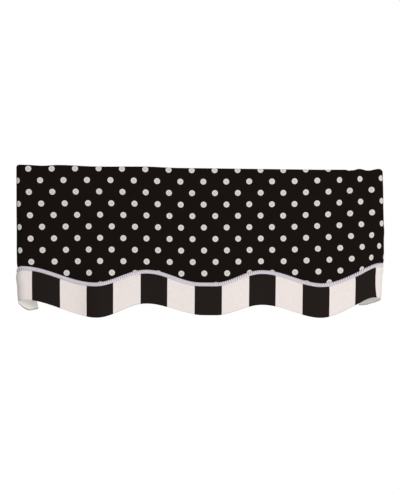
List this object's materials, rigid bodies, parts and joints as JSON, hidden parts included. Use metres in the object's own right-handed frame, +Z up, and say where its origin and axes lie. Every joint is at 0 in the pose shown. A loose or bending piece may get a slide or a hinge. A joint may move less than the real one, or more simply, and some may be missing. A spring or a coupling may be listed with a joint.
{
  "type": "rod pocket valance",
  "caption": "Lined window valance with a rod pocket, returns to the wall, a dotted face with a scalloped corded seam and a wide striped band along the scalloped hem.",
  "frame": {"origin": "the middle of the top edge of the face, over the middle of the rod pocket's depth", "axes": "+X to the viewer's right along the rod, +Y back towards the wall, +Z up"},
  "size_m": [1.0792, 0.1426, 0.4285],
  "materials": {
    "dotted_cotton": "plain-woven black cotton with an even print of pale round dots",
    "striped_cotton": "ivory cotton with wide upright black stripes",
    "twisted_cord": "pale grey lavender three-strand twisted cord with a soft sheen",
    "plain_lining": "plain ivory lining cloth"
  },
  "bodies": {
    "root": {"face_panel": "dotted_cotton", "pocket_strip": "dotted_cotton", "striped_band": "striped_cotton", "seam_cord": "twisted_cord", "lining": "plain_lining"}
  },
  "joints": []
}
